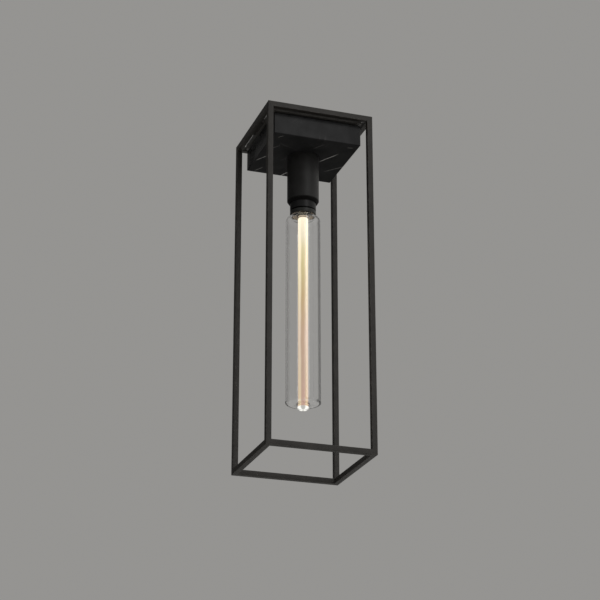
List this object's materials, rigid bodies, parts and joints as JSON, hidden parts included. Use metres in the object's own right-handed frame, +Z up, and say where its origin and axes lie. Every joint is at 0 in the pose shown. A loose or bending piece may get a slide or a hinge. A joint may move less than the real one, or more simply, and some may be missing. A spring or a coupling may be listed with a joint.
{
  "type": "ceiling light",
  "caption": "Flush ceiling light: an open cage of square bars round a clear tube lamp with a glowing rod, hung in a plain cup under a dark veined stone block.",
  "frame": {"origin": "centre of the mounting strap's top face, in the plane of the ceiling", "axes": "+Z up into the ceiling, +X along the mounting strap, -Y towards the side seen first"},
  "size_m": [0.1566, 0.1566, 0.5055],
  "materials": {
    "black_powder_coat": "fine satin powder coat",
    "black_rubber": "matt",
    "dark_marble": "polished, fine pale veins",
    "zinc_steel": "zinc plated",
    "white_plastic": "moulded",
    "brass": "plain",
    "black_plastic": "moulded",
    "live_sleeve": "brown wire sleeve",
    "neutral_sleeve": "blue wire sleeve",
    "porcelain": "glazed",
    "solder": "dull",
    "black_insulator": "glossy",
    "nickel_cap": "nickel plated",
    "black_collar": "satin black",
    "green_board": "solder mask",
    "white_board": "solder mask",
    "phosphor": "light source",
    "can_sleeve": "shrink sleeve",
    "aluminium": "turned",
    "clear_glass": "clear",
    "lit_guide": "clear rod that glows warm from end to end",
    "clear_silicone": "translucent"
  },
  "bodies": {
    "fixture": {"post_front_left": "black_powder_coat", "post_front_right": "black_powder_coat", "post_rear_left": "black_powder_coat", "post_rear_right": "black_powder_coat", "top_bar_front": "black_powder_coat", "top_bar_rear": "black_powder_coat", "top_bar_left": "black_powder_coat", "top_bar_right": "black_powder_coat", "bottom_bar_front": "black_powder_coat", "bottom_bar_rear": "black_powder_coat", "bottom_bar_left": "black_powder_coat", "bottom_bar_right": "black_powder_coat", "mounting_strap": "black_powder_coat", "backing_plate": "black_powder_coat", "lamp_cup": "black_powder_coat", "locating_pins": "zinc_steel", "centre_bolt": "zinc_steel", "cup_washer": "zinc_steel", "cup_nut": "zinc_steel", "terminal_screws": "zinc_steel", "earth_screw": "zinc_steel", "socket_standoffs": "zinc_steel", "socket_screws": "zinc_steel", "clamp_screws": "zinc_steel", "terminal_tubes": "brass", "live_terminal": "brass", "neutral_terminal": "brass", "socket_shell": "brass", "gasket": "black_rubber", "stone_block": "dark_marble", "terminal_block": "white_plastic", "live_wire": "live_sleeve", "neutral_wire": "neutral_sleeve", "socket_body": "porcelain"},
    "contact_spring": {"contact_leaf": "brass"},
    "lamp_carrier": {"lamp_contact": "solder"},
    "lamp": {"lamp_insulator": "black_insulator", "lamp_cap": "nickel_cap", "lamp_collar": "black_collar", "driver_board": "green_board", "driver_capacitor": "can_sleeve", "heat_sink": "aluminium", "source_board": "white_board", "source_chip": "phosphor", "guide_holder": "black_plastic", "glass_tube": "clear_glass", "light_guide": "lit_guide", "tip_grommet": "clear_silicone"}
  },
  "joints": [
    {"name": "lamp_travel", "type": "slide", "parent": "fixture", "child": "lamp_carrier", "axis": [0, 0, -1], "range_m": [0, 0.0218]},
    {"name": "lamp_turn", "type": "hinge", "parent": "lamp_carrier", "child": "lamp", "pos_m": [0, 0, -0.1101], "axis": [0, 0, -1], "range_deg": [0, 2160]},
    {"name": "leaf_flex", "type": "hinge", "parent": "fixture", "child": "contact_spring", "pos_m": [-0.0072, 0, -0.0789], "axis": [0, -1, 0], "range_deg": [0, 5]}
  ],
  "couplings": [
    {"joint": "lamp_travel", "follows": "lamp_turn", "m_per_rad": 0.00057773}
  ]
}
